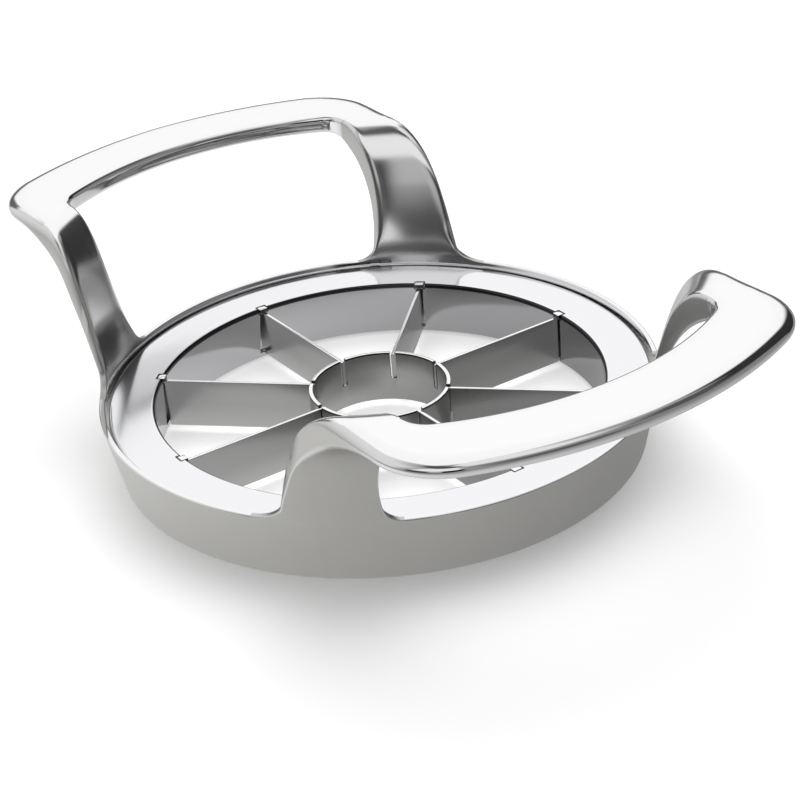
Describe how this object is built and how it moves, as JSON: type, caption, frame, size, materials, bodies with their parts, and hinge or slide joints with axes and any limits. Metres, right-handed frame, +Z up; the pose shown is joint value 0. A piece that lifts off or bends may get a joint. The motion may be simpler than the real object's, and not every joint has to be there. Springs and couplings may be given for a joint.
{
  "type": "fruit slicer",
  "caption": "Two-handled push-down fruit slicer: tapered ring frame with raised flat handle bars, blade carrier, radial blades and a core ring.",
  "frame": {"origin": "on the ring's axis, at the surface that the base ring stands on", "axes": "+X through the two handle bars, +Y across them, +Z up along the ring's axis, away from the cutting edges"},
  "size_m": [0.172, 0.11, 0.0411],
  "materials": {
    "frame_steel": "satin outside, polished on the handle bars and edges",
    "carrier_steel": "mirror polished",
    "core_steel": "fine ground",
    "blade_steel": "fine ground, bright upper edge"
  },
  "bodies": {
    "root": {"handle_frame": "frame_steel", "blade_carrier": "carrier_steel", "core_ring": "core_steel", "blade_1": "blade_steel", "blade_2": "blade_steel", "blade_3": "blade_steel", "blade_4": "blade_steel", "blade_5": "blade_steel", "blade_6": "blade_steel", "blade_7": "blade_steel", "blade_8": "blade_steel"}
  },
  "joints": []
}
